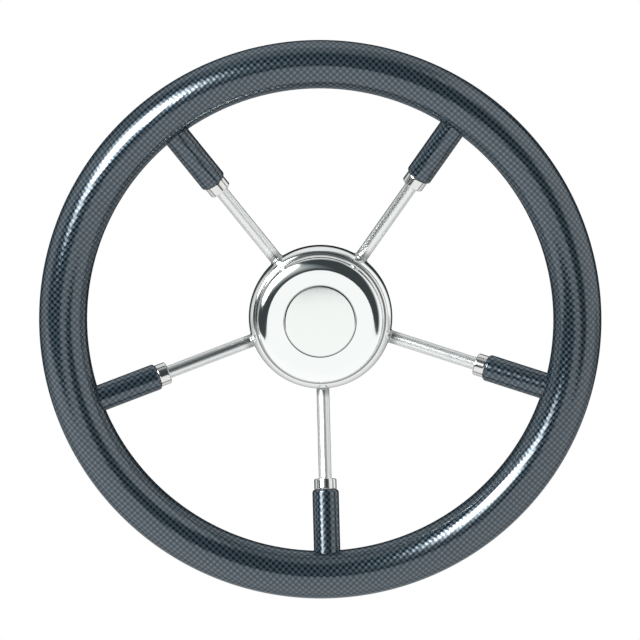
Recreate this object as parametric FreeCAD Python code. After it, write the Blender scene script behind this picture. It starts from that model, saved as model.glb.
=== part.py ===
import FreeCAD, Part

import math
import os

from FreeCAD import Rotation, Vector

# Five-spoke boat steering wheel with a dished face.
#
# A moulded grip covers a round steel ring. Five straight steel rods run from the ring, through
# five moulded sleeves and five turned ferrules, into a pressed hub bowl and end on a turned boss.
# The boss has the tapered and keyed hole for the helm shaft. A turned cap with a rubber ring
# plugs the mouth of the bowl and pulls straight off, to reach the shaft nut.
#
# Millimetres. The origin is the centre of the boss's rear face. The wheel turns about Y: its face
# looks along -Y, the helm shaft comes in from +Y, and +Z is up with one spoke at six o'clock.
# "Forward" below is a distance from the rear face towards -Y.

# Rim
rim_outer_diameter = 350.0
grip_diameter = 30.0
ring_bar_diameter = 10.0

# Spokes
spoke_count = 5
spoke_diameter = 8.0
dish_angle = 12.6
weld_leg = 1.6
weld_length = 3.0
weld_tip = 0.15
weld_root_depth = 4.0

# Sleeves and ferrules
sleeve_diameter = 16.6
sleeve_inner_end = 108.0
sleeve_edge_radius = 1.8
ferrule_diameter = 14.0
ferrule_length = 6.5
ferrule_chamfer = 0.5
spigot_diameter = 11.6
spigot_length = 9.0

# Hub bowl
hub_diameter = 90.0
bowl_thickness = 2.0
bowl_wall_height = 5.0
bowl_back_radius = 14.0
shoulder_radius = 10.0
mouth_inset = 5.4
lip_width = 2.0
lip_depth = 7.5
lip_edge_radius = 0.7
spoke_below_shoulder = 6.1

# Hub boss
neck_diameter = 38.0
neck_length = 28.0
head_diameter = 46.0
head_height = 15.5
boss_chamfer = 1.2
shaft_hole_diameter = 19.3
shaft_hole_length = 16.0
taper_large_diameter = 19.05
taper_per_length = 1.0 / 12.0
keyway_width = 4.8
keyway_depth = 2.4

# Centre cap
cap_overhang = 1.0
cap_thickness = 1.2
cap_wall_height = 9.6
cap_wall_tilt = 82.0
cap_edge_radius = 1.9
cap_edge_height = 0.9
cap_shoulder_radius = 15.5
cap_shoulder_tilt = 26.0
flat_outer_tilt = 1.0
flat_inner_tilt = 0.3
disc_groove_diameter = 44.6
disc_groove_radius = 1.6
groove_inner_tilt = 13.0
groove_outer_tilt = 13.0
disc_brow_radius = 4.0
flat_brow_radius = 1.6
disc_crown_radius = 700.0
skirt_length = 8.5
skirt_thickness = 3.0
skirt_chamfer = 0.6

# Rubber ring on the cap's skirt
cord_diameter = 2.4
groove_width = 2.9
groove_from_seat = 2.6

# Clearances
bond_gap = 0.05
fit_gap = 0.05
seat_gap = 0.1
skirt_gap = 0.3
ring_gap = 0.05

# Derived places
rim_radius = (rim_outer_diameter - grip_diameter) / 2
hub_radius = hub_diameter / 2
dish_slope = math.tan(math.radians(dish_angle))
bowl_back = neck_length
bowl_floor = bowl_back + bowl_thickness
wall_top = bowl_back + bowl_back_radius + bowl_wall_height
spoke_apex = wall_top - spoke_below_shoulder - hub_radius * dish_slope
rim_plane = spoke_apex + rim_radius * dish_slope
mouth_radius = hub_radius - mouth_inset
lip_outer_radius = mouth_radius + lip_width
shoulder_centre = hub_radius - shoulder_radius
shoulder_sweep = math.acos((lip_outer_radius - shoulder_centre) / shoulder_radius)
mouth_plane = wall_top + shoulder_radius * math.sin(shoulder_sweep)
seat_plane = mouth_plane + seat_gap
boss_front = bowl_floor + head_height
cap_radius = mouth_radius + cap_overhang
skirt_radius = mouth_radius - skirt_gap
skirt_end = seat_plane - skirt_length
cord_circle = mouth_radius - ring_gap - cord_diameter / 2
groove_front = seat_plane - groove_from_seat
groove_back = groove_front - groove_width
groove_floor = cord_circle - cord_diameter / 2 - ring_gap


def at(radius, forward):
    """A point of a profile that is turned about the wheel's axis."""
    return Vector(radius, -forward, 0)


def line(start, end):
    return Part.LineSegment(start, end).toShape()


def arc_about(centre, radius, start_angle, end_angle):
    """An arc in the profile plane. Angles are in degrees, 0 outwards and 90 forward."""
    def point(angle):
        turn = math.radians(angle)
        return centre + Vector(radius * math.cos(turn), -radius * math.sin(turn), 0)

    middle = (start_angle + end_angle) / 2
    return Part.Arc(point(start_angle), point(middle), point(end_angle)).toShape()


def polyline(points):
    return [line(a, b) for a, b in zip(points, points[1:])]


def turned(edges):
    """Turns an open profile about the wheel's axis, after closing it with a straight line."""
    profile = Part.Wire(Part.__sortEdges__(edges))
    ends = profile.OrderedVertexes
    closed = Part.Wire(profile.Edges + [line(ends[-1].Point, ends[0].Point)])
    return Part.Face(closed).revolve(Vector(0, 0, 0), Vector(0, 1, 0), 360)


def ring_of(bar_diameter, circle_radius, forward):
    """A round ring about the wheel's axis."""
    return Part.makeTorus(circle_radius, bar_diameter / 2, Vector(0, -forward, 0), Vector(0, 1, 0))


def drum(radius):
    """A cylinder about the wheel's axis, from the rear face to in front of the bowl's mouth."""
    return Part.makeCylinder(radius, rim_plane, Vector(0, 0, 0), Vector(0, -1, 0))


def spoke_direction(number):
    """Along spoke 1 to 5, outwards. Spoke 1 is at six o'clock and they count clockwise."""
    clock = math.radians(180 + (number - 1) * 360 / spoke_count)
    dish = math.radians(dish_angle)
    flat = Vector(math.sin(clock), 0, math.cos(clock))
    return flat * math.cos(dish) + Vector(0, -math.sin(dish), 0)


def along_spoke(distance_from_axis):
    """A distance from the wheel's axis, measured instead along the sloping spoke."""
    return distance_from_axis / math.cos(math.radians(dish_angle))


def on_spoke(profile, number):
    """Turns a profile of (distance from the wheel's axis, radius) points about a spoke."""
    points = [Vector(radius, 0, along_spoke(reach)) for reach, radius in profile]
    face = Part.Face(Part.makePolygon(points + points[:1]))
    solid = face.revolve(Vector(0, 0, 0), Vector(0, 0, 1), 360)
    solid.rotate(Vector(0, 0, 0), *axis_and_angle(spoke_direction(number)))
    solid.translate(Vector(0, -spoke_apex, 0))
    return solid


def axis_and_angle(direction):
    rotation = Rotation(Vector(0, 0, 1), direction)
    return rotation.Axis, math.degrees(rotation.Angle)


def rod_on_spoke(diameter, start, end, number):
    radius = diameter / 2
    return on_spoke([(start, 0), (start, radius), (end, radius), (end, 0)], number)


def rim_ring():
    return ring_of(ring_bar_diameter, rim_radius, rim_plane)


def rim_grip():
    grip = ring_of(grip_diameter, rim_radius, rim_plane)
    grip = grip.cut(ring_of(ring_bar_diameter + 2 * bond_gap, rim_radius, rim_plane))
    bore = spoke_diameter + 2 * fit_gap
    inside = rim_radius - grip_diameter
    holes = [rod_on_spoke(bore, inside, rim_radius, n) for n in range(1, spoke_count + 1)]
    return grip.cut(holes)


def spoke(number):
    """A plain rod, its ends shaped to the boss and to the ring that they are welded to."""
    rod = rod_on_spoke(spoke_diameter, 0, rim_radius, number)
    head = drum(head_diameter / 2)
    return rod.cut([head, ring_of(ring_bar_diameter, rim_radius, rim_plane)])


def sleeve(number):
    """A moulded tube that butts against the grip and takes the ferrule's spigot."""
    bore = spoke_diameter / 2 + fit_gap
    socket = spigot_diameter / 2 + fit_gap
    socket_end = sleeve_inner_end + spigot_length + seat_gap
    outside = sleeve_diameter / 2
    tube = on_spoke(
        [
            (sleeve_inner_end, socket),
            (sleeve_inner_end, outside),
            (rim_radius, outside),
            (rim_radius, bore),
            (socket_end, bore),
            (socket_end, socket),
        ],
        number,
    )
    tube = tube.makeFillet(sleeve_edge_radius, [outer_edge_nearest_axis(tube, outside)])
    return tube.cut(ring_of(grip_diameter + 2 * bond_gap, rim_radius, rim_plane))


def outer_edge_nearest_axis(solid, radius):
    """The circular edge of this radius that is nearest the wheel's axis."""
    circles = [e for e in solid.Edges if isinstance(e.Curve, Part.Circle)]
    round_edges = [e for e in circles if abs(e.Curve.Radius - radius) < 1e-6]
    return min(round_edges, key=lambda e: e.Curve.Center.x ** 2 + e.Curve.Center.z ** 2)


def ferrule(number):
    """A turned collar with a spigot that stands in the end of the sleeve."""
    bore = spoke_diameter / 2 + fit_gap
    outside = ferrule_diameter / 2
    start = sleeve_inner_end - seat_gap - ferrule_length
    shoulder = sleeve_inner_end - seat_gap
    return on_spoke(
        [
            (start, bore),
            (start, outside - ferrule_chamfer),
            (start + ferrule_chamfer, outside),
            (shoulder, outside),
            (shoulder, spigot_diameter / 2),
            (shoulder + spigot_length, spigot_diameter / 2),
            (shoulder + spigot_length, bore),
        ],
        number,
    )


def bowl_outside():
    """The bowl as a full body: flat back, rounded corner, wall, shoulder and flat lip."""
    corner = at(hub_radius - bowl_back_radius, bowl_back + bowl_back_radius)
    shoulder = at(shoulder_centre, wall_top)
    sweep = math.degrees(shoulder_sweep)
    edges = polyline([at(0, bowl_back), at(hub_radius - bowl_back_radius, bowl_back)])
    edges += [arc_about(corner, bowl_back_radius, -90, 0)]
    edges += polyline([at(hub_radius, bowl_back + bowl_back_radius), at(hub_radius, wall_top)])
    edges += [arc_about(shoulder, shoulder_radius, 0, sweep)]
    edges += polyline([at(lip_outer_radius, mouth_plane), at(0, mouth_plane)])
    return turned(edges)


def bowl_inside():
    """The hollow of the bowl, with a turned-in lip left standing round the mouth."""
    inner_radius = hub_radius - bowl_thickness
    inner_corner = bowl_back_radius - bowl_thickness
    corner = at(inner_radius - inner_corner, bowl_floor + inner_corner)
    lip_end = mouth_plane - lip_depth
    edges = polyline([at(0, bowl_floor), at(inner_radius - inner_corner, bowl_floor)])
    edges += [arc_about(corner, inner_corner, -90, 0)]
    edges += polyline(
        [
            at(inner_radius, bowl_floor + inner_corner),
            at(inner_radius, lip_end),
            at(mouth_radius, lip_end),
            at(mouth_radius, rim_plane),
            at(0, rim_plane),
        ]
    )
    return turned(edges)


def hub_bowl():
    """The pressed bowl, with a small weld collar round each spoke hole."""
    bowl = bowl_outside()
    numbers = range(1, spoke_count + 1)
    bowl = bowl.fuse([weld_collar(n) for n in numbers])
    bowl = bowl.cut([bowl_inside(), drum(neck_diameter / 2 + fit_gap)])
    bore = spoke_diameter + 2 * fit_gap
    beyond = hub_radius + 2 * weld_length
    bowl = bowl.cut([rod_on_spoke(bore, 0, beyond, n) for n in numbers])
    mouth_edges = [e for e in bowl.Edges if is_mouth_edge(e)]
    return bowl.makeFillet(lip_edge_radius, mouth_edges).removeSplitter()


def weld_collar(number):
    """A cone round the spoke that stands on the wall of the bowl.

    Its straight root reaches the wall all round, also where the wall turns in to the back.
    """
    radius = spoke_diameter / 2 + fit_gap
    toe = hub_radius - bowl_thickness / 2
    root = hub_radius - weld_root_depth
    tip = hub_radius + weld_length
    return on_spoke(
        [
            (root, 0),
            (root, radius + weld_leg),
            (toe, radius + weld_leg),
            (tip, radius + weld_tip),
            (tip, 0),
        ],
        number,
    )


def is_mouth_edge(edge):
    """True for the two circles at the front edge of the lip."""
    if not isinstance(edge.Curve, Part.Circle):
        return False
    in_plane = abs(edge.Curve.Center.y + mouth_plane) < 1e-6
    return in_plane and edge.Curve.Radius > mouth_radius - 1e-6


def hub_boss():
    """The turned boss: neck, head that the spokes end on, tapered hole with a keyway."""
    neck = neck_diameter / 2
    head = head_diameter / 2
    hole = shaft_hole_diameter / 2
    large = taper_large_diameter / 2
    small = large - (boss_front - shaft_hole_length) * taper_per_length / 2
    outline = [
        (hole, 0),
        (neck - boss_chamfer, 0),
        (neck, boss_chamfer),
        (neck, bowl_floor),
        (head, bowl_floor),
        (head, boss_front - boss_chamfer),
        (head - boss_chamfer, boss_front),
        (small, boss_front),
        (large, shaft_hole_length),
        (hole, shaft_hole_length),
    ]
    boss = turned(polyline([at(*point) for point in outline]))
    return boss.cut(keyway())


def keyway():
    """A slot of one depth along the top of the hole, cut right through the boss."""
    reach = shaft_hole_diameter / 2 + keyway_depth
    corner = Vector(-keyway_width / 2, -boss_front, 0)
    return Part.makeBox(keyway_width, boss_front, reach, corner)


def sine(degrees):
    return math.sin(math.radians(degrees))


def cosine(degrees):
    return math.cos(math.radians(degrees))


def crown_bends(inset):
    """The crown's arcs from its centre outwards: radius, tilt at the start, tilt at the end.

    A tilt is how steeply the crown falls outwards, in degrees. The arcs run on smoothly: disc,
    groove between two brows, nearly flat ring, shoulder, edge. An inset takes the thickness off
    the two outer ones.
    """
    inner_sine = sine(groove_inner_tilt)
    outer_sine = sine(groove_outer_tilt)
    groove_centre = disc_groove_diameter / 2
    disc_edge = groove_centre - (disc_groove_radius + disc_brow_radius) * inner_sine
    disc_edge /= 1 - disc_brow_radius / disc_crown_radius
    disc_tilt = math.degrees(math.asin(disc_edge / disc_crown_radius))
    flat_start = groove_centre + (disc_groove_radius + flat_brow_radius) * outer_sine
    flat_start += flat_brow_radius * sine(flat_inner_tilt)
    shoulder_end = cap_radius - cap_wall_height / math.tan(math.radians(cap_wall_tilt))
    shoulder_end -= cap_edge_radius * (sine(cap_wall_tilt) - sine(cap_shoulder_tilt))
    flat_end = shoulder_end
    flat_end -= cap_shoulder_radius * (sine(cap_shoulder_tilt) - sine(flat_outer_tilt))
    flat_radius = (flat_end - flat_start) / (sine(flat_outer_tilt) - sine(flat_inner_tilt))
    return [
        (disc_crown_radius, 0.0, disc_tilt),
        (disc_brow_radius, disc_tilt, groove_inner_tilt),
        (disc_groove_radius, groove_inner_tilt, -groove_outer_tilt),
        (flat_brow_radius, -groove_outer_tilt, flat_inner_tilt),
        (flat_radius, flat_inner_tilt, flat_outer_tilt),
        (cap_shoulder_radius - inset, flat_outer_tilt, cap_shoulder_tilt),
        (cap_edge_radius - inset, cap_shoulder_tilt, cap_wall_tilt),
    ]


def bend_sense(bend):
    """1 for an arc that rounds over, -1 for a hollow one."""
    return 1 if bend[2] > bend[1] else -1


def cap_top():
    """How far forward the middle of the crown is."""
    drops = [bend_sense(b) * b[0] * (cosine(b[1]) - cosine(b[2])) for b in crown_bends(0.0)]
    return seat_plane + cap_wall_height + sum(drops)


def cap_crown(inset):
    """The crown's outline from its centre to its side, and where it ends."""
    place = at(0, cap_top() - inset)
    edges = []
    for bend in crown_bends(inset):
        radius, start, end = bend
        reach = bend_sense(bend) * radius
        centre = place - Vector(sine(start), -cosine(start), 0) * reach
        points = [
            centre + Vector(sine(tilt), -cosine(tilt), 0) * reach
            for tilt in (start, (start + end) / 2, end)
        ]
        edges.append(Part.Arc(*points).toShape())
        place = points[-1]
    return edges, place


def cap_outside():
    """The cap as a full body: crown, edge that sits on the lip, skirt and groove."""
    edges, side = cap_crown(0)
    edges += polyline(
        [
            side,
            at(cap_radius, seat_plane),
            at(skirt_radius, seat_plane),
            at(skirt_radius, groove_front),
            at(groove_floor, groove_front),
            at(groove_floor, groove_back),
            at(skirt_radius, groove_back),
            at(skirt_radius, skirt_end + skirt_chamfer),
            at(skirt_radius - skirt_chamfer, skirt_end),
            at(0, skirt_end),
        ]
    )
    return turned(edges)


def cap_inside():
    """The hollow under the crown, and inside the skirt."""
    edges, side = cap_crown(cap_thickness)
    floor = seat_plane + cap_edge_height
    inner = skirt_radius - skirt_thickness
    spread = (-side.y - floor) / math.tan(math.radians(cap_wall_tilt))
    foot = at(side.x + spread, floor)
    edges += polyline([side, foot, at(inner, floor), at(inner, bowl_floor), at(0, bowl_floor)])
    return turned(edges)


def centre_cap():
    return cap_outside().cut(cap_inside())


def cap_ring():
    """The rubber ring in the skirt's groove. It fills the gap to the mouth of the bowl."""
    return ring_of(cord_diameter, cord_circle, (groove_front + groove_back) / 2)


def build():
    parts = {
        "rim_grip": rim_grip(),
        "rim_core_ring": rim_ring(),
        "hub_bowl": hub_bowl(),
        "hub_boss": hub_boss(),
        "centre_cap": centre_cap(),
        "cap_rubber_ring": cap_ring(),
    }
    for number in range(1, spoke_count + 1):
        parts[f"spoke_{number}"] = spoke(number)
        parts[f"spoke_sleeve_{number}"] = sleeve(number)
        parts[f"spoke_ferrule_{number}"] = ferrule(number)
    return parts


os.makedirs("parts", exist_ok=True)
for name, shape in build().items():
    shape.exportStep(f"parts/{name}.step")
    print(name, len(shape.Solids), "solid", round(shape.Volume), "mm3", "valid", shape.isValid())
print("rim plane", round(rim_plane, 2), "mouth plane", round(mouth_plane, 2))
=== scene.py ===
import math

import bpy
from mathutils import Matrix, Vector


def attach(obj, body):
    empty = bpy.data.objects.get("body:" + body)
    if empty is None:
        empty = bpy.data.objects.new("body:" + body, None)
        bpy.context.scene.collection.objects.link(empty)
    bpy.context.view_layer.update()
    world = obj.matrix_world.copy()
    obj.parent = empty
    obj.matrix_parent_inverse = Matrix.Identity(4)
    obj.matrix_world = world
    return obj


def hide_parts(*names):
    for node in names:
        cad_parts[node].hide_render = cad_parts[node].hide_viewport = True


# Looks of the five-spoke boat steering wheel: glossy weave-look grip and sleeves, polished steel
# hub, cap and spokes, turned ferrules. Sizes below are in millimetres, as in the part's source.
# "Forward" is a distance from the hub's rear face towards -Y. Meshes are made in metres.

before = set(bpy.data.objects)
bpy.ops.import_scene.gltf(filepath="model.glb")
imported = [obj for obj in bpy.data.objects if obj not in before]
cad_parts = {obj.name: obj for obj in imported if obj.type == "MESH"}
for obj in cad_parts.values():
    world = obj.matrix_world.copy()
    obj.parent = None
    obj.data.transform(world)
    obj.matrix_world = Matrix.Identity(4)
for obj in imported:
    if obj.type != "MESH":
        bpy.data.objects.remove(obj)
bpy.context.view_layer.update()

MM = 0.001

# Sizes from the part's source
rim_radius = 160.0
grip_radius = 15.0
spoke_count = 5
rod_radius = 4.0
dish_angle = math.radians(12.6)
hub_radius = 45.0
bowl_thickness = 2.0
bowl_back = 28.0
bowl_back_radius = 14.0
bowl_wall_height = 5.0
shoulder_radius = 10.0
mouth_inset = 5.4
lip_width = 2.0
lip_depth = 7.5
lip_edge_radius = 0.7
spoke_below_shoulder = 6.1
neck_radius = 19.0
head_radius = 23.0
sleeve_radius = 8.3
sleeve_inner_end = 108.0
sleeve_edge_radius = 1.8
ferrule_radius = 7.0
ferrule_length = 6.5
ferrule_chamfer = 0.5
spigot_radius = 5.8
weld_leg = 1.6
weld_length = 3.0
cap_overhang = 1.0
cap_thickness = 1.2
cap_wall_height = 9.6
cap_wall_tilt = math.radians(82.0)
cap_edge_radius = 1.9
cap_edge_height = 0.9
cap_shoulder_radius = 15.5
cap_shoulder_tilt = math.radians(26.0)
flat_outer_tilt = math.radians(1.0)
flat_inner_tilt = math.radians(0.3)
disc_groove_ring = 22.3
disc_groove_radius = 1.6
groove_inner_tilt = math.radians(13.0)
groove_outer_tilt = math.radians(13.0)
disc_brow_radius = 4.0
flat_brow_radius = 1.6
disc_crown_radius = 700.0
skirt_length = 8.5
skirt_thickness = 3.0
skirt_chamfer = 0.6
cord_diameter = 2.4
groove_width = 2.9
groove_from_seat = 2.6
seat_gap = 0.1
skirt_gap = 0.3
ring_gap = 0.05
fit_gap = 0.05

# Hidden ends: how far the sleeve's bore and the ferrule's spigot are drawn, and the rod's ends
spigot_depth = 6.0
rod_in_boss = 1.0
rod_short_of_ring = 5.5

# Derived places
dish_slope = math.tan(dish_angle)
bowl_floor = bowl_back + bowl_thickness
wall_bottom = bowl_back + bowl_back_radius
wall_top = wall_bottom + bowl_wall_height
spoke_apex = wall_top - spoke_below_shoulder - hub_radius * dish_slope
rim_plane = spoke_apex + rim_radius * dish_slope
mouth_radius = hub_radius - mouth_inset
lip_outer_radius = mouth_radius + lip_width
shoulder_centre = hub_radius - shoulder_radius
shoulder_sweep = math.acos((lip_outer_radius - shoulder_centre) / shoulder_radius)
mouth_plane = wall_top + shoulder_radius * math.sin(shoulder_sweep)
seat_plane = mouth_plane + seat_gap
cap_radius = mouth_radius + cap_overhang
skirt_radius = mouth_radius - skirt_gap
skirt_end = seat_plane - skirt_length
cord_circle = mouth_radius - ring_gap - cord_diameter / 2
groove_front = seat_plane - groove_from_seat
groove_back = groove_front - groove_width
groove_floor = cord_circle - cord_diameter / 2 - ring_gap

# The wheel's own axes: local Z is forward, local Y is up.
wheel_axes = Matrix.Rotation(math.radians(90), 4, "X")


# Profiles: lists of (radius, height) points, turned about local Z

def arc(centre, radius, start, end, count):
    """Points of an arc. Angles are in radians, 0 outwards and a quarter turn is forward."""
    points = []
    for i in range(count + 1):
        turn = start + (end - start) * i / count
        points.append((centre[0] + radius * math.cos(turn), centre[1] + radius * math.sin(turn)))
    return points


def steps_between(start, end, count):
    """Points of a straight line, both ends included."""
    points = []
    for i in range(count + 1):
        part = i / count
        points.append(tuple(a + (b - a) * part for a, b in zip(start, end)))
    return points


def joined(*runs):
    """Runs of points in a row, without points that lie on each other."""
    points = []
    for run in runs:
        for point in run:
            if not points or math.dist(points[-1], point) > 1e-5:
                points.append(point)
    return points


# Meshes

def new_piece(name, vertices, faces, placement, material, body="wheel", sharp=30.0):
    """A smooth-shaded mesh piece that rides on a body. Vertices are in millimetres."""
    mesh = bpy.data.meshes.new(name)
    mesh.from_pydata([tuple(c * MM for c in v) for v in vertices], [], faces)
    mesh.validate()
    mesh.shade_smooth()
    mesh.set_sharp_from_angle(angle=math.radians(sharp))
    piece = bpy.data.objects.new(name, mesh)
    bpy.context.scene.collection.objects.link(piece)
    piece.matrix_world = placement
    mesh.materials.append(material)
    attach(piece, body)
    return piece


def lathe(profile, count, closed=False):
    """Vertices and faces of a profile turned about local Z. Points on the axis become one."""
    vertices = []
    rings = []
    for radius, height in profile:
        if radius < 1e-6:
            rings.append([len(vertices)] * count)
            vertices.append((0.0, 0.0, height))
            continue
        rings.append(list(range(len(vertices), len(vertices) + count)))
        for k in range(count):
            turn = 2 * math.pi * k / count
            vertices.append((radius * math.cos(turn), radius * math.sin(turn), height))
    pairs = list(zip(rings, rings[1:]))
    if closed:
        pairs.append((rings[-1], rings[0]))
    return vertices, faces_between(pairs, count)


def faces_between(pairs, count):
    """Quads between pairs of rings, or triangles where a ring is one point."""
    faces = []
    for low, high in pairs:
        for k in range(count):
            after = (k + 1) % count
            face = [low[k], low[after], high[after], high[k]]
            face = [v for i, v in enumerate(face) if v != face[i - 1]]
            faces.append(face)
    return faces


def tube_faces(vertices, count):
    """Faces of an open tube whose vertices come ring by ring."""
    rings = [list(range(i, i + count)) for i in range(0, len(vertices), count)]
    return faces_between(list(zip(rings, rings[1:])), count)


# Places on the spokes

def spoke_clock(number):
    """The clock angle of spoke 1 to 5, in radians. Spoke 1 points down."""
    return math.pi + (number - 1) * 2 * math.pi / spoke_count


def spoke_placement(number):
    """Local Z runs outwards along spoke 1 to 5 from the wheel's axis, and local Y is forward."""
    clock = spoke_clock(number)
    flat = Vector((math.sin(clock), 0.0, math.cos(clock)))
    forward = Vector((0.0, -1.0, 0.0))
    along = flat * math.cos(dish_angle) + forward * math.sin(dish_angle)
    front = forward * math.cos(dish_angle) - flat * math.sin(dish_angle)
    side = front.cross(along)
    rotation = Matrix((side, front, along)).transposed().to_4x4()
    return Matrix.Translation(Vector((0.0, -spoke_apex * MM, 0.0))) @ rotation


def along_spoke(distance_from_axis):
    """The local Z on a spoke that lies this far from the wheel's axis."""
    return distance_from_axis / math.cos(dish_angle)


def place_on_wheel(placement, x, y, z):
    """A point in a spoke's axes, as its distance from the wheel's axis and how far forward."""
    point = placement @ Vector((x * MM, y * MM, z * MM)) / MM
    return math.hypot(point.x, point.z), -point.y


def outside_grip(placement, x, y, z):
    """How far a point in a spoke's axes lies outside the grip's surface, in millimetres."""
    ring, forward = place_on_wheel(placement, x, y, z)
    return math.hypot(ring - rim_radius, forward - rim_plane) - grip_radius


def outside_bowl(placement, x, y, z):
    """How far a point in a spoke's axes lies outside the bowl's wall, in millimetres."""
    ring, forward = place_on_wheel(placement, x, y, z)
    if forward < wall_bottom:
        corner = hub_radius - bowl_back_radius
        return math.hypot(ring - corner, forward - wall_bottom) - bowl_back_radius
    if forward > wall_top:
        return math.hypot(ring - shoulder_centre, forward - wall_top) - shoulder_radius
    return ring - hub_radius


def first_reach(test, start, end):
    """The place between start and end where test turns from positive to negative."""
    halvings = 40
    for _ in range(halvings):
        middle = (start + end) / 2
        if test(middle) > 0:
            start = middle
        else:
            end = middle
    return (start + end) / 2


# Node helper

class Tree:
    """A short way to write nodes. An input takes an output, a number or a colour."""

    def __init__(self, tree):
        self.tree = tree
        self.nodes = tree.nodes
        self.nodes.clear()

    def add(self, kind, **settings):
        node = self.nodes.new(kind)
        for key, value in settings.items():
            setattr(node, key, value)
        return node

    def link(self, source, target):
        self.tree.links.new(source, target)

    def put(self, value, socket):
        """Links an output to a socket, or sets a number or colour on it."""
        if isinstance(value, bpy.types.NodeSocket):
            self.link(value, socket)
        elif value is not None:
            socket.default_value = value

    def math(self, operation, a, b=None, c=None):
        node = self.add("ShaderNodeMath", operation=operation)
        for value, socket in zip((a, b, c), node.inputs):
            self.put(value, socket)
        return node.outputs[0]

    def blend(self, factor, at_zero, at_one):
        """A number that runs with the factor from one value to another."""
        return self.math("MULTIPLY_ADD", factor, at_one - at_zero, at_zero)

    def clip(self, value, low, high):
        return self.math("MAXIMUM", self.math("MINIMUM", value, high), low)

    def vector(self, operation, a, b=None, scale=None):
        node = self.add("ShaderNodeVectorMath", operation=operation)
        self.put(a, node.inputs[0])
        self.put(b, node.inputs[1])
        if scale is not None:
            self.put(scale, node.inputs["Scale"])
        numbers = ("DOT_PRODUCT", "LENGTH", "DISTANCE")
        return node.outputs["Value" if operation in numbers else "Vector"]

    def step(self, value, low, high, to_low=0.0, to_high=1.0):
        """A soft step from to_low to to_high."""
        node = self.add("ShaderNodeMapRange", interpolation_type="SMOOTHSTEP")
        for item, socket in zip((value, low, high, to_low, to_high), node.inputs):
            self.put(item, socket)
        return node.outputs[0]

    def mix(self, factor, a, b):
        """A mix of two colours."""
        node = self.add("ShaderNodeMix", data_type="RGBA")
        self.put(factor, node.inputs["Factor"])
        self.put(a, [s for s in node.inputs if s.identifier == "A_Color"][0])
        self.put(b, [s for s in node.inputs if s.identifier == "B_Color"][0])
        return [s for s in node.outputs if s.identifier == "Result_Color"][0]

    def noise(self, vector, scale, detail=2.0, roughness=0.5):
        node = self.add("ShaderNodeTexNoise")
        self.put(vector, node.inputs["Vector"])
        self.put(scale, node.inputs["Scale"])
        self.put(detail, node.inputs["Detail"])
        self.put(roughness, node.inputs["Roughness"])
        return node.outputs["Fac"]

    def parts(self, vector):
        node = self.add("ShaderNodeSeparateXYZ")
        self.link(vector, node.inputs[0])
        return node.outputs

    def whole(self, x, y, z):
        node = self.add("ShaderNodeCombineXYZ")
        for value, socket in zip((x, y, z), node.inputs):
            self.put(value, socket)
        return node.outputs[0]

    def reach(self, a, b):
        """The distance from an axis, from the two coordinates across it."""
        return self.vector("LENGTH", self.whole(a, b, 0.0))

    def bump(self, height, distance, strength=1.0, normal=None):
        """A relief whose distance is in metres."""
        node = self.add("ShaderNodeBump")
        self.put(height, node.inputs["Height"])
        self.put(distance, node.inputs["Distance"])
        self.put(strength, node.inputs["Strength"])
        self.put(normal, node.inputs["Normal"])
        return node.outputs[0]


def new_material(name):
    material = bpy.data.materials.new(name)
    material.use_nodes = True
    tree = Tree(material.node_tree)
    output = tree.add("ShaderNodeOutputMaterial")
    shader = tree.add("ShaderNodeBsdfPrincipled")
    tree.link(shader.outputs[0], output.inputs["Surface"])
    return material, tree, shader


def object_place(tree):
    """The point in the piece's own axes, in millimetres."""
    place = tree.add("ShaderNodeTexCoord").outputs["Object"]
    return tree.vector("SCALE", place, scale=1 / MM)


def finish_surface(tree, shader, colour, rough, relief, metallic=1.0):
    """Links a colour, a roughness and a relief to the shader."""
    tree.link(colour, shader.inputs["Base Color"])
    tree.link(rough, shader.inputs["Roughness"])
    tree.link(relief, shader.inputs["Normal"])
    shader.inputs["Metallic"].default_value = metallic


def tool_lines(tree, ring, height, per_ring, per_height, roughness):
    """Fine tool marks round an axis, from the distance to it and the height along it."""
    across = tree.math("MULTIPLY", ring, per_ring)
    along = tree.math("MULTIPLY", height, per_height)
    return tree.noise(tree.whole(across, 0.0, along), 1.0, detail=3.0, roughness=roughness)


# Materials

# The grey of painted shade in crevices and under the cap's edge, and of heat tint beside the
# welds
shade_and_tint_grey = (0.12, 0.125, 0.12, 1.0)
black = (0.0, 0.0, 0.0, 1.0)
film_dark = (0.004, 0.009, 0.014, 1.0)
film_light = (0.108, 0.157, 0.200, 1.0)
film_gloss = (0.75, 0.9, 1.0, 1.0)
# The weave: half its repeat, and how far it drifts, in millimetres
weave_cell = 2.0
weave_drift = 5.0


def weave_phase(tree, distance, place, spread):
    """How far the weave has gone along a film coordinate, in radians, with a slow drift."""
    wave = tree.noise(place, 1 / spread, detail=1.0)
    drift = tree.blend(wave, -weave_drift / 2, weave_drift / 2)
    return tree.math("MULTIPLY", tree.math("ADD", distance, drift), math.pi / weave_cell)


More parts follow.
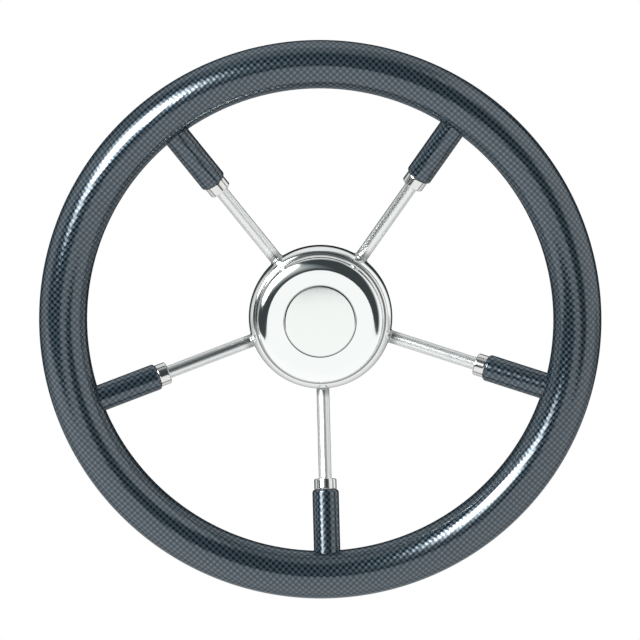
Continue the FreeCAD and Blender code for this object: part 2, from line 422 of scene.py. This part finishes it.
def finish_film(tree, shader, u, v, place):
    """The printed weave film under its clear coat, from film coordinates in millimetres."""
    elsewhere = tree.vector("ADD", place, (300.0, 100.0, 50.0))
    across = weave_phase(tree, u, place, 90.0)
    along = weave_phase(tree, v, elsewhere, 110.0)
    product = tree.math("MULTIPLY", tree.math("COSINE", across), tree.math("COSINE", along))
    # The dots are narrower across than along
    double = tree.math("COSINE", tree.math("MULTIPLY", across, 2.0))
    squeeze = 0.22
    narrow = tree.math("MULTIPLY_ADD", double, squeeze, 1 - squeeze)
    dark = tree.step(tree.math("MULTIPLY", product, narrow), -0.6, 0.5)
    # Fibres: fine strokes along the light cells
    thin = tree.math("MULTIPLY", v, 6.0)
    fibre = tree.noise(tree.whole(tree.math("MULTIPLY", u, 0.6), thin, 0.0), 1.0)
    glow = tree.step(product, 0.3, -0.9, 0.72, 1.0)
    shade = tree.math("MULTIPLY", glow, tree.blend(fibre, 0.75, 1.25))
    colour = tree.mix(dark, tree.mix(shade, black, film_light), film_dark)
    rough = tree.math("MULTIPLY_ADD", fibre, 0.06, tree.blend(dark, 0.22, 0.09))
    # The coat follows the weave a little, which frays the edges of a reflection
    peel = tree.noise(place, 1 / 9.0)
    waves = tree.bump(peel, 0.06 * MM, 0.5)
    relief = tree.bump(product, 0.02 * MM, 1.0, waves)
    finish_surface(tree, shader, colour, rough, relief)
    tree.link(relief, shader.inputs["Coat Normal"])
    tree.link(tree.blend(dark, 0.62, 0.02), shader.inputs["Metallic"])
    shader.inputs["IOR"].default_value = 1.5
    shader.inputs["Specular Tint"].default_value = film_gloss
    shader.inputs["Coat Roughness"].default_value = 0.02
    shader.inputs["Coat IOR"].default_value = 1.52
    # The gloss stays low where the surface is seen at a glancing angle
    facing = tree.add("ShaderNodeLayerWeight").outputs["Facing"]
    glancing = tree.step(facing, 0.25, 0.6)
    tree.link(tree.blend(glancing, 1.0, 0.3), shader.inputs["Coat Weight"])
    tree.link(tree.blend(glancing, 0.5, 0.12), shader.inputs["Specular IOR Level"])


def rim_film():
    """Film that hugs the grip: flat-on weave, laid out along the tube's section."""
    material, tree, shader = new_material("weave_film_rim")
    place = object_place(tree)
    x, y, _ = tree.parts(place)
    flat = tree.whole(x, y, 0.0)
    ring = tree.vector("LENGTH", flat)
    offset = tree.math("SUBTRACT", ring, rim_radius)
    share = tree.clip(tree.math("DIVIDE", offset, grip_radius), -0.999, 0.999)
    wrapped = tree.math("MULTIPLY", tree.math("ARCSINE", share), grip_radius)
    # The film hugs the tube for the most part, and is laid flat for the rest
    hug = 0.7
    mixed = tree.math("MULTIPLY_ADD", wrapped, hug, tree.math("MULTIPLY", offset, 1 - hug))
    scale = tree.math("DIVIDE", tree.math("ADD", mixed, rim_radius), ring)
    film = tree.vector("SCALE", flat, scale=scale)
    u, v, _ = tree.parts(film)
    finish_film(tree, shader, u, v, place)
    return material


def sleeve_film(number):
    """The same film round a sleeve, its weave in line with the rim's."""
    material, tree, shader = new_material(f"weave_film_sleeve_{number}")
    place = object_place(tree)
    x, y, z = tree.parts(place)
    turn = tree.math("ARCTAN2", x, y)
    across = tree.math("MULTIPLY", turn, sleeve_radius)
    cos, sin = math.cos(spoke_clock(number)), math.sin(spoke_clock(number))
    u = tree.math("ADD", tree.math("MULTIPLY", across, -cos), tree.math("MULTIPLY", z, sin))
    v = tree.math("ADD", tree.math("MULTIPLY", across, sin), tree.math("MULTIPLY", z, cos))
    finish_film(tree, shader, u, v, place)
    return material


def polished_steel(name, axis, smooth, low, high):
    """Mirror-polished steel with faint polishing lines along or round the piece."""
    material, tree, shader = new_material(name)
    place = object_place(tree)
    x, y, z = tree.parts(place)
    if axis == "along":
        turn = tree.math("MULTIPLY", tree.math("ARCTAN2", x, y), 5.0)
        lines = tree.whole(turn, tree.math("MULTIPLY", z, 0.05), 0.0)
        # Lengthwise polishing lines spread a reflection round the rod
        shader.inputs["Anisotropic"].default_value = 0.7
        # Heat tint, scratches and painted shade darken the rod beside its weld
        weld_end = along_spoke(hub_radius) + weld_length
        shade_and_tint_mask = tree.step(z, weld_end + 5.0, weld_end - 0.5, 0.0, 0.6)
    else:
        ring = tree.reach(x, y)
        lines = tree.whole(tree.math("MULTIPLY", ring, 3.0), tree.math("MULTIPLY", z, 3.0), 0.0)
        # Painted shade in the crevice under the edge of the cap
        under = tree.step(ring, cap_radius + 1.0, cap_radius + 0.3, 0.0, 0.8)
        near = tree.step(z, mouth_plane - 1.4, mouth_plane - 0.6)
        shade_and_tint_mask = tree.math("MULTIPLY", under, near)
    grain = tree.noise(lines, 1.0, detail=3.0)
    cloud = tree.noise(place, 1 / 14.0, detail=3.0)
    shade = tree.math("MULTIPLY_ADD", cloud, 0.5, tree.math("MULTIPLY", grain, 0.5))
    dull = (low * 0.975, low, low * 0.995, 1.0)
    bright = (high * 0.975, high, high * 0.99, 1.0)
    # Painted shade, and heat tint on the rods, darken the colour where this mask is set
    colour = tree.mix(shade_and_tint_mask, tree.mix(shade, dull, bright), shade_and_tint_grey)
    rough = tree.blend(shade, smooth, smooth + 0.08)
    finish_surface(tree, shader, colour, rough, tree.bump(grain, 0.004 * MM, 0.2))
    return material


def turned_steel(name):
    """Turned steel with fine tool rings round local Z."""
    material, tree, shader = new_material(name)
    place = object_place(tree)
    x, y, z = tree.parts(place)
    grooves = tool_lines(tree, tree.reach(x, y), z, 4.0, 4.0, 0.7)
    colour = tree.mix(grooves, (0.70, 0.70, 0.68, 1.0), (0.90, 0.90, 0.885, 1.0))
    rough = tree.blend(tree.noise(place, 1 / 4.0), 0.12, 0.22)
    finish_surface(tree, shader, colour, rough, tree.bump(grooves, 0.01 * MM, 0.35))
    return material


def cap_steel():
    """The cap: polished flat and shoulder, satin disc with fine rings."""
    material, tree, shader = new_material("cap_polish")
    place = object_place(tree)
    x, y, z = tree.parts(place)
    ring = tree.reach(x, y)
    disc = tree.step(ring, disc_groove_ring - 0.7, disc_groove_ring - 1.5)
    shoulder = tree.step(ring, 31.0, 35.0)
    grooves = tool_lines(tree, ring, z, 5.0, 1.0, 0.6)
    cloud = tree.noise(place, 1 / 16.0)
    shade = tree.math("MULTIPLY_ADD", grooves, 0.4, tree.math("MULTIPLY", cloud, 0.6))
    polished = tree.mix(shade, (0.915, 0.945, 0.925, 1.0), (0.965, 0.99, 0.975, 1.0))
    satin = tree.mix(shade, (0.905, 0.935, 0.91, 1.0), (0.965, 0.99, 0.97, 1.0))
    # Painted shade at the foot of the wall and in the ring groove
    foot = tree.step(z, seat_plane + 0.9, seat_plane + 0.3, 0.0, 0.8)
    beside = tree.math("ABSOLUTE", tree.math("SUBTRACT", ring, disc_groove_ring))
    groove = tree.step(beside, 0.85, 0.1, 0.0, 0.4)
    painted_shade_mask = tree.math("MAXIMUM", foot, groove)
    # The painted shade in the groove and at the foot is mixed in here
    colour = tree.mix(painted_shade_mask, tree.mix(disc, polished, satin), shade_and_tint_grey)
    # The disc and the shoulder are a little less smooth than the flat
    rough = tree.blend(cloud, 0.035, 0.075)
    rough = tree.math("MULTIPLY_ADD", shoulder, 0.03, rough)
    rough = tree.math("MULTIPLY_ADD", disc, 0.04, rough)
    relief = tree.bump(grooves, 0.003 * MM, tree.blend(disc, 0.1, 0.6))
    finish_surface(tree, shader, colour, rough, relief)
    return material


def mill_steel():
    """Plain bar with mill scale, inside the grip."""
    material, tree, shader = new_material("mill_finish_bar")
    scale = tree.noise(object_place(tree), 0.8, detail=5.0, roughness=0.6)
    colour = tree.mix(scale, (0.42, 0.42, 0.42, 1.0), (0.68, 0.68, 0.67, 1.0))
    rough = tree.blend(scale, 0.3, 0.55)
    finish_surface(tree, shader, colour, rough, tree.bump(scale, 0.02 * MM, 0.5))
    return material


def black_rubber():
    """Matt rubber cord with a fine moulded grain."""
    material, tree, shader = new_material("moulded_rubber")
    grain = tree.noise(object_place(tree), 3.0, detail=4.0)
    colour = tree.mix(grain, (0.013, 0.013, 0.014, 1.0), (0.03, 0.03, 0.031, 1.0))
    rough = tree.blend(grain, 0.5, 0.75)
    finish_surface(tree, shader, colour, rough, tree.bump(grain, 0.03 * MM, 0.6), metallic=0.0)
    return material


def boss_steel():
    """Turned steel for the boss, whose rings run about the wheel's axis, which is Y here."""
    material, tree, shader = new_material("turned_boss")
    x, y, z = tree.parts(object_place(tree))
    grooves = tool_lines(tree, tree.reach(x, z), y, 3.0, 3.0, 0.7)
    colour = tree.mix(grooves, (0.55, 0.54, 0.52, 1.0), (0.78, 0.77, 0.75, 1.0))
    rough = tree.blend(grooves, 0.2, 0.34)
    finish_surface(tree, shader, colour, rough, tree.bump(grooves, 0.02 * MM, 0.5))
    return material


# Pieces

def make_rim():
    """The moulded grip, one closed ring."""
    section = arc((rim_radius, rim_plane), grip_radius, 0.0, 2 * math.pi, 112)[:-1]
    vertices, faces = lathe(section, count=840, closed=True)
    piece = new_piece("rim_grip_skin", vertices, faces, wheel_axes, rim_film())
    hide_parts("rim_grip")


def make_sleeve(number, count=128):
    """The sleeve's open tube, its outer end shaped to the grip."""
    placement = spoke_placement(number)
    start = along_spoke(sleeve_inner_end)
    bore = spigot_radius + fit_gap
    edge = (sleeve_radius - sleeve_edge_radius, start + sleeve_edge_radius)
    profile = joined(
        [(bore, start + spigot_depth), (bore, start)],
        arc(edge, sleeve_edge_radius, -math.pi / 2, 0.0, 14),
    )
    vertices, _ = lathe(profile, count)
    base = profile[-1][1]
    rows = 24
    # How deep the tube's end lies in the grip
    sunk = 0.3
    for row in range(1, rows + 1):
        for k in range(count):
            turn = 2 * math.pi * k / count
            x, y = sleeve_radius * math.cos(turn), sleeve_radius * math.sin(turn)
            end = first_reach(
                lambda z: outside_grip(placement, x, y, z) + sunk, base, along_spoke(rim_radius)
            )
            vertices.append((x, y, base + (end - base) * row / rows))
    faces = tube_faces(vertices, count)
    name = f"sleeve_{number}"
    piece = new_piece(name, vertices, faces, placement, sleeve_film(number))
    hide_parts(f"spoke_sleeve_{number}")


def make_ferrule(number, material):
    """The turned collar, its chamfer a little softened, with its spigot in the sleeve."""
    start = along_spoke(sleeve_inner_end - seat_gap - ferrule_length)
    shoulder = along_spoke(sleeve_inner_end - seat_gap)
    bore = rod_radius + fit_gap
    radius = ferrule_radius
    cut = ferrule_chamfer
    soft = 0.12
    eased = soft * 0.4
    bore_edge = 0.2
    outer_edge = 0.25
    worn = outer_edge * 0.28
    profile = joined(
        [(bore, start + 1.0), (bore, start + bore_edge), (bore + bore_edge, start)],
        steps_between((bore + bore_edge, start), (radius - cut - soft, start), 3),
        [(radius - cut, start + eased), (radius - eased, start + cut - eased)],
        steps_between((radius, start + cut + soft), (radius, shoulder - outer_edge), 8),
        [(radius - worn, shoulder - worn), (radius - outer_edge, shoulder)],
        [(spigot_radius, shoulder), (spigot_radius, shoulder + spigot_depth)],
    )
    vertices, faces = lathe(profile, count=112)
    name = f"ferrule_{number}"
    placement = spoke_placement(number)
    piece = new_piece(name, vertices, faces, placement, material, sharp=25.0)
    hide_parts(f"spoke_ferrule_{number}")


def make_rod(number, material):
    """The polished rod, from the boss to inside the grip."""
    start = along_spoke(head_radius - rod_in_boss)
    end = along_spoke(rim_radius - rod_short_of_ring)
    side = steps_between((rod_radius, start), (rod_radius, end), 90)
    vertices, faces = lathe([(0.0, start)] + side + [(0.0, end)], count=96)
    name = f"rod_{number}"
    placement = spoke_placement(number)
    piece = new_piece(name, vertices, faces, placement, material)
    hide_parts(f"spoke_{number}")


def bowl_outline():
    """The outside of the bowl, from the hole in its back to the top of its lip."""
    corner_radius = hub_radius - bowl_back_radius
    shoulder = (shoulder_centre, wall_top)
    # The shoulder's arc stops just short of the lip's rounding
    shoulder_end = shoulder_sweep - 0.04
    lip = lip_edge_radius
    outer = (lip_outer_radius - lip, mouth_plane - lip)
    inner = (mouth_radius + lip, mouth_plane - lip)
    return joined(
        steps_between((neck_radius + fit_gap, bowl_back), (corner_radius, bowl_back), 6),
        arc((corner_radius, wall_bottom), bowl_back_radius, -math.pi / 2, 0.0, 48),
        steps_between((hub_radius, wall_bottom), (hub_radius, wall_top), 6),
        arc(shoulder, shoulder_radius, 0.0, shoulder_end, 40),
        arc(outer, lip, shoulder_sweep, math.pi / 2, 8),
        arc(inner, lip, math.pi / 2, math.pi, 12),
    )


def make_bowl(material):
    """The pressed bowl with its turned-in lip."""
    lip_end = mouth_plane - lip_depth
    inner_radius = hub_radius - bowl_thickness
    inner_corner = bowl_back_radius - bowl_thickness
    corner = (inner_radius - inner_corner, bowl_floor + inner_corner)
    inside = joined(
        steps_between((mouth_radius, mouth_plane - lip_edge_radius), (mouth_radius, lip_end), 6),
        [(mouth_radius + 0.3, lip_end - 0.2), (inner_radius, lip_end - 0.2)],
        steps_between((inner_radius, lip_end - 0.3), (inner_radius, corner[1]), 4),
        arc(corner, inner_corner, 0.0, -math.pi / 2, 32),
        [(neck_radius + fit_gap, bowl_floor)],
    )
    profile = joined(bowl_outline(), inside)
    vertices, faces = lathe(profile, count=480, closed=True)
    name = "hub_bowl_skin"
    piece = new_piece(name, vertices, faces, wheel_axes, material, sharp=35.0)
    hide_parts("hub_bowl")


def make_weld(number, material, count=160):
    """A rippled weld bead between the rod and the wall of the bowl."""
    placement = spoke_placement(number)
    rows = 12
    ripples = 19
    ripple_height = 0.1
    # The bead's root lies in the wall, and its toe a hair above the rod
    root_sink = 0.15
    toe_radius = rod_radius + 0.02
    search = (along_spoke(hub_radius - 6.0), along_spoke(hub_radius + 4.0))
    vertices = []
    for row in range(rows + 1):
        part = row / rows
        for k in range(count):
            turn = 2 * math.pi * k / count
            ripple = 0.5 + 0.5 * math.cos(turn * ripples + 0.7 * math.sin(turn * 2 + number))
            leg = weld_leg * (0.8 + 0.09 * math.sin(turn * 3 + number * 1.7))
            # A rounded fillet: from the wall at part 0 to the rod at part 1
            swell = ripple_height * ripple * math.sin(part * math.pi)
            reach = toe_radius + leg * (1 - math.sin(part * math.pi / 2)) + swell
            rise = leg * 1.05 * (1 - math.cos(part * math.pi / 2)) + swell
            x, y = reach * math.cos(turn), reach * math.sin(turn)
            wall = first_reach(lambda z: -outside_bowl(placement, x, y, z), *search)
            if row == 0:
                wall -= root_sink
            vertices.append((x, y, wall + rise))
    name = f"weld_bead_{number}"
    faces = tube_faces(vertices, count)
    new_piece(name, vertices, faces, placement, material, sharp=60.0)


def crown_bends(inset):
    """The crown's arcs from its centre outwards: radius, tilt at its start and end, points."""
    inner_sine = math.sin(groove_inner_tilt)
    outer_sine = math.sin(groove_outer_tilt)
    disc_edge = disc_groove_ring - (disc_groove_radius + disc_brow_radius) * inner_sine
    disc_edge /= 1 - disc_brow_radius / disc_crown_radius
    disc_tilt = math.asin(disc_edge / disc_crown_radius)
    flat_start = disc_groove_ring + (disc_groove_radius + flat_brow_radius) * outer_sine
    flat_start += flat_brow_radius * math.sin(flat_inner_tilt)
    flat_end = cap_radius - cap_wall_height / math.tan(cap_wall_tilt)
    flat_end -= cap_edge_radius * (math.sin(cap_wall_tilt) - math.sin(cap_shoulder_tilt))
    flat_end -= cap_shoulder_radius * (math.sin(cap_shoulder_tilt) - math.sin(flat_outer_tilt))
    flat_rise = math.sin(flat_outer_tilt) - math.sin(flat_inner_tilt)
    flat_radius = (flat_end - flat_start) / flat_rise
    return [
        (disc_crown_radius, 0.0, disc_tilt, 16),
        (disc_brow_radius, disc_tilt, groove_inner_tilt, 20),
        (disc_groove_radius, groove_inner_tilt, -groove_outer_tilt, 24),
        (flat_brow_radius, -groove_outer_tilt, flat_inner_tilt, 14),
        (flat_radius, flat_inner_tilt, flat_outer_tilt, 12),
        (cap_shoulder_radius - inset, flat_outer_tilt, cap_shoulder_tilt, 40),
        (cap_edge_radius - inset, cap_shoulder_tilt, cap_wall_tilt, 20),
    ]


def crown(inset):
    """The crown's outline from its centre to its side. A tilt is how steeply it falls."""
    height = seat_plane + cap_wall_height - inset
    for radius, start, end, _ in crown_bends(0.0):
        height += math.copysign(radius, end - start) * (math.cos(start) - math.cos(end))
    points = [(0.0, height)]
    for radius, start, end, count in crown_bends(inset):
        reach = math.copysign(radius, end - start)
        x, z = points[-1]
        x -= reach * math.sin(start)
        z -= reach * math.cos(start)
        for i in range(1, count + 1):
            tilt = start + (end - start) * i / count
            points.append((x + reach * math.sin(tilt), z + reach * math.cos(tilt)))
    return points


def make_cap():
    """The pressed cap with its crown, edge, skirt and groove."""
    inner = skirt_radius - skirt_thickness
    floor = seat_plane + cap_edge_height
    edge = 0.3
    outside = joined(
        crown(0.0),
        steps_between(crown(0.0)[-1], (cap_radius - edge * 0.14, seat_plane + edge), 12),
        arc((cap_radius - edge, seat_plane + edge), edge, 0.0, -math.pi / 2, 6),
        [
            (skirt_radius, seat_plane),
            (skirt_radius, groove_front),
            (groove_floor, groove_front),
            (groove_floor, groove_back),
            (skirt_radius, groove_back),
            (skirt_radius, skirt_end + skirt_chamfer),
            (skirt_radius - skirt_chamfer, skirt_end),
            (inner, skirt_end),
            (inner, floor),
        ],
    )
    side = crown(cap_thickness)[-1]
    spread = (side[1] - floor) / math.tan(cap_wall_tilt)
    wall = steps_between((side[0] + spread, floor), side, 8)
    inside = joined(wall, list(reversed(crown(cap_thickness))))
    profile = joined(outside, inside)
    vertices, faces = lathe(profile, count=288)
    name = "centre_cap_skin"
    piece = new_piece(
        name, vertices, faces, wheel_axes, cap_steel(), body="cap", sharp=40.0
    )
    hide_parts("centre_cap")


def dress(node, material):
    """Puts a material on a CAD node that no piece replaces."""
    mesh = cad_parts[node].data
    mesh.materials.clear()
    mesh.materials.append(material)


rod_steel = polished_steel("polished_rod", "along", 0.26, 0.84, 0.94)
bowl_steel = polished_steel("polished_bowl", "round", 0.07, 0.9, 0.97)
weld_steel = polished_steel("polished_weld", "round", 0.3, 0.36, 0.7)
ferrule_steel = turned_steel("turned_ferrule")

make_rim()
make_bowl(bowl_steel)
make_cap()
for number in range(1, spoke_count + 1):
    make_rod(number, rod_steel)
    make_ferrule(number, ferrule_steel)
    make_sleeve(number)
    make_weld(number, weld_steel)
dress("hub_boss", boss_steel())
dress("cap_rubber_ring", black_rubber())
dress("rim_core_ring", mill_steel())


# Camera: the photograph's, a little above the wheel and far away. Distances are in metres.

camera_distance = 3.038
camera_elevation = math.radians(7.0)
camera_azimuth = math.radians(1.14)
camera_roll = math.radians(-1.742)
camera_aside = 0.00002
camera_below = -0.00064
sensor_width = 36.0
focal_length_pixels = 4882.0
picture_pixels = 640.0

back = Vector(
    (
        math.sin(camera_azimuth) * math.cos(camera_elevation),
        -math.cos(camera_azimuth) * math.cos(camera_elevation),
        math.sin(camera_elevation),
    )
)
level = Vector((math.cos(camera_azimuth), math.sin(camera_azimuth), 0.0))
upright = back.cross(level)
right = level * math.cos(camera_roll) + upright * math.sin(camera_roll)
up = upright * math.cos(camera_roll) - level * math.sin(camera_roll)
target = Vector((0.0, -rim_plane * MM, 0.0))
place = target + back * camera_distance - right * camera_aside - up * camera_below
camera_data = bpy.data.cameras.new("camera")
camera_data.lens = sensor_width * focal_length_pixels / picture_pixels
camera_data.sensor_width = sensor_width
camera_data.clip_end = 100.0
camera = bpy.data.objects.new("camera", camera_data)
camera.matrix_world = Matrix.Translation(place) @ Matrix((right, up, back)).transposed().to_4x4()
bpy.context.scene.collection.objects.link(camera)
bpy.context.scene.camera = camera


# Directions round the wheel

def heading(azimuth, elevation):
    """A direction from the wheel. Azimuth 0 is ahead, towards -Y, and 90 is the right."""
    azimuth = math.radians(azimuth)
    elevation = math.radians(elevation)
    flat = math.cos(elevation)
    return Vector((flat * math.sin(azimuth), -flat * math.cos(azimuth), math.sin(elevation)))


def oval_axes(direction):
    """The long and the short way of the oval lamp. Its length points off the camera's line."""
    radial = (direction - back * direction.dot(back)).normalized()
    radial = (radial - direction * direction.dot(radial)).normalized()
    return radial, direction.cross(radial)


def ray_kinds(tree):
    """The camera's rays, and the rays that mirrors and glass send out."""
    path = tree.add("ShaderNodeLightPath").outputs
    mirrored = tree.math("MAXIMUM", path["Is Glossy Ray"], path["Is Transmission Ray"])
    return path["Is Camera Ray"], mirrored


# Stage: a pale floor below the wheel. It looks white to the camera and keeps a faint shadow.

def make_floor():
    """A wide sheet below the wheel, and a narrower run of it towards the camera."""
    floor_level = -0.55
    wide, narrow = 6.0, 1.1
    rear, front, end = 1.3, -1.4, -11.0
    corners = [
        (-wide, rear), (wide, rear), (wide, front), (narrow, front),
        (narrow, end), (-narrow, end), (-narrow, front), (-wide, front),
    ]
    mesh = bpy.data.meshes.new("floor")
    faces = [(0, 7, 6, 3, 2, 1), (3, 6, 5, 4)]
    mesh.from_pydata([(x, y, floor_level) for x, y in corners], [], faces)
    floor = bpy.data.objects.new("floor", mesh)
    bpy.context.scene.collection.objects.link(floor)
    mesh.materials.append(floor_material())


def floor_material():
    """Pale paint that takes the lamp's light, mostly covered by white for camera and mirrors."""
    pale = 0.85
    white_to_camera = 1.06
    white_share = 0.93
    material = bpy.data.materials.new("pale_floor")
    material.use_nodes = True
    tree = Tree(material.node_tree)
    output = tree.add("ShaderNodeOutputMaterial")
    plain = tree.add("ShaderNodeBsdfDiffuse")
    plain.inputs["Color"].default_value = (pale, pale, pale, 1.0)
    bright = tree.add("ShaderNodeEmission")
    camera_ray, mirrored = ray_kinds(tree)
    # Mirrors see the floor dimmer behind the wheel than in front of it
    _, depth, _ = tree.parts(tree.add("ShaderNodeTexCoord").outputs["Object"])
    to_mirrors = tree.step(depth, -0.25, 0.6, 1.03, 0.55)
    to_camera = tree.math("MULTIPLY", camera_ray, white_to_camera)
    tree.link(tree.math("MAXIMUM", to_mirrors, to_camera), bright.inputs["Strength"])
    seen = tree.math("MAXIMUM", camera_ray, mirrored)
    mix = tree.add("ShaderNodeMixShader")
    tree.link(tree.math("MULTIPLY", seen, white_share), mix.inputs[0])
    tree.link(plain.outputs[0], mix.inputs[1])
    tree.link(bright.outputs[0], mix.inputs[2])
    tree.link(mix.outputs[0], output.inputs["Surface"])
    return material


make_floor()


# Light: one oval soft box at the upper left, and a world that lights everything evenly. Mirrors
# see a dark room instead, with pale walls at the sides and behind, a pale ceiling, and the glow
# of the soft box's cloth.

def soft_box(name, direction, distance, length, width, brightness):
    """An oval lamp that faces the wheel."""
    lamp = bpy.data.lights.new(name, "AREA")
    lamp.shape = "ELLIPSE"
    lamp.size = length
    lamp.size_y = width
    lamp.energy = brightness * math.pi * length * width * math.pi / 4
    box = bpy.data.objects.new(name, lamp)
    turned = Matrix((*oval_axes(direction), direction)).transposed().to_4x4()
    box.matrix_world = Matrix.Translation(target + direction * distance) @ turned
    bpy.context.scene.collection.objects.link(box)


key = heading(-41.0, 30.0)
soft_box("key_box", key, distance=1.5, length=0.9, width=0.56, brightness=12.0)

# Walls, in degrees: azimuth, half the width, blur, lowest and highest elevation, blur. The last
# number is the brightness.
walls = [
    (85.0, 44.0, 7.0, -100.0, 60.0, 8.0, 1.0),
    (180.0, 70.0, 25.0, 36.0, 200.0, 9.0, 0.85),
    (-100.0, 24.0, 12.0, -100.0, 40.0, 12.0, 0.75),
    (0.0, 200.0, 10.0, 60.0, 200.0, 10.0, 0.5),
]
dark_room = 0.05
level_light = 0.45
cool = (0.85, 1.0, 1.05, 1.0)
white = (1.0, 1.0, 1.0, 1.0)


class Sky(Tree):
    """The world's nodes, with the direction that a ray comes from."""

    def __init__(self, tree):
        super().__init__(tree)
        self.place = self.add("ShaderNodeTexCoord").outputs["Generated"]
        upwards = self.parts(self.place)[2]
        self.elevation = self.math("DEGREES", self.math("ARCSINE", self.clip(upwards, -1.0, 1.0)))

    def toward(self, direction):
        """The cosine of the angle to a direction."""
        return self.vector("DOT_PRODUCT", self.place, tuple(direction))

    def patch(self, direction, outer, inner, outside, inside):
        """A soft round patch about a direction. Its outer and inner angle are in degrees."""
        edges = [math.cos(math.radians(angle)) for angle in (outer, inner)]
        return self.step(self.toward(direction), *edges, outside, inside)

    def wall(self, azimuth, half, blur, low, high, soft, brightness):
        """A soft wall between two elevations, on both sides of an azimuth."""
        along = self.toward(heading(azimuth, 0.0))
        aside = self.toward(heading(azimuth + 90.0, 0.0))
        turn = self.math("ABSOLUTE", self.math("ARCTAN2", aside, along))
        away = self.math("DEGREES", turn)
        beside = self.step(away, half + blur, half - blur, 0.0, brightness)
        above = self.step(self.elevation, low - soft, low + soft)
        below = self.step(self.elevation, high + soft, high - soft)
        return self.math("MULTIPLY", beside, self.math("MULTIPLY", above, below))

    def glow(self, direction):
        """The soft box's cloth, an oval with a wide skirt and a brighter lower end."""
        radial, tangent = oval_axes(direction)
        long_way = self.math("DIVIDE", self.toward(radial), 0.40)
        short_way = self.math("DIVIDE", self.toward(tangent), 0.30)
        cloth = self.step(self.reach(long_way, short_way), 1.1, 0.6, 0.0, 5.0)
        wide = self.reach(self.math("MULTIPLY", long_way, 0.55), short_way)
        skirt = self.step(wide, 1.15, 0.35, 0.0, 0.8)
        # The lower end draws the white streak on the bottom sleeve
        lower = self.patch(heading(-41.0, 16.0), 13.0, 5.0, 0.0, 7.0)
        whole = self.math("ADD", cloth, self.math("ADD", skirt, lower))
        return self.math("MULTIPLY", whole, self.step(self.toward(direction), 0.0, 0.1))


def make_world():
    """An even level of light, white for the camera, and the room for mirrors."""
    world = bpy.data.worlds.new("studio")
    world.use_nodes = True
    bpy.context.scene.world = world
    sky = Sky(world.node_tree)
    room = dark_room
    for wall in walls:
        room = sky.math("MAXIMUM", room, sky.wall(*wall))
    # A dark screen straight behind, which outlines the steel
    room = sky.math("MULTIPLY", room, sky.patch(heading(181.0, -2.0), 34.0, 16.0, 1.0, 0.1))
    # The white backdrop that the camera sees past the wheel fills the screen's middle
    room = sky.math("MAXIMUM", room, sky.patch(-back, 6.5, 5.0, 0.0, 1.0))
    room = sky.math("MAXIMUM", room, sky.glow(key))
    camera_ray, mirrored = ray_kinds(sky)
    room = sky.math("MULTIPLY", room, mirrored)
    even = sky.math("MULTIPLY", sky.math("SUBTRACT", 1.0, mirrored), level_light)
    strength = sky.math("MAXIMUM", sky.math("MAXIMUM", room, even), camera_ray)
    shell = sky.add("ShaderNodeBackground")
    # What is dark in the room is a little blue
    tint = sky.mix(sky.step(strength, 0.03, 0.6), cool, white)
    sky.link(tint, shell.inputs["Color"])
    sky.link(strength, shell.inputs["Strength"])
    output = sky.add("ShaderNodeOutputWorld")
    sky.link(shell.outputs[0], output.inputs["Surface"])


make_world()

bpy.context.scene.view_settings.view_transform = "Standard"
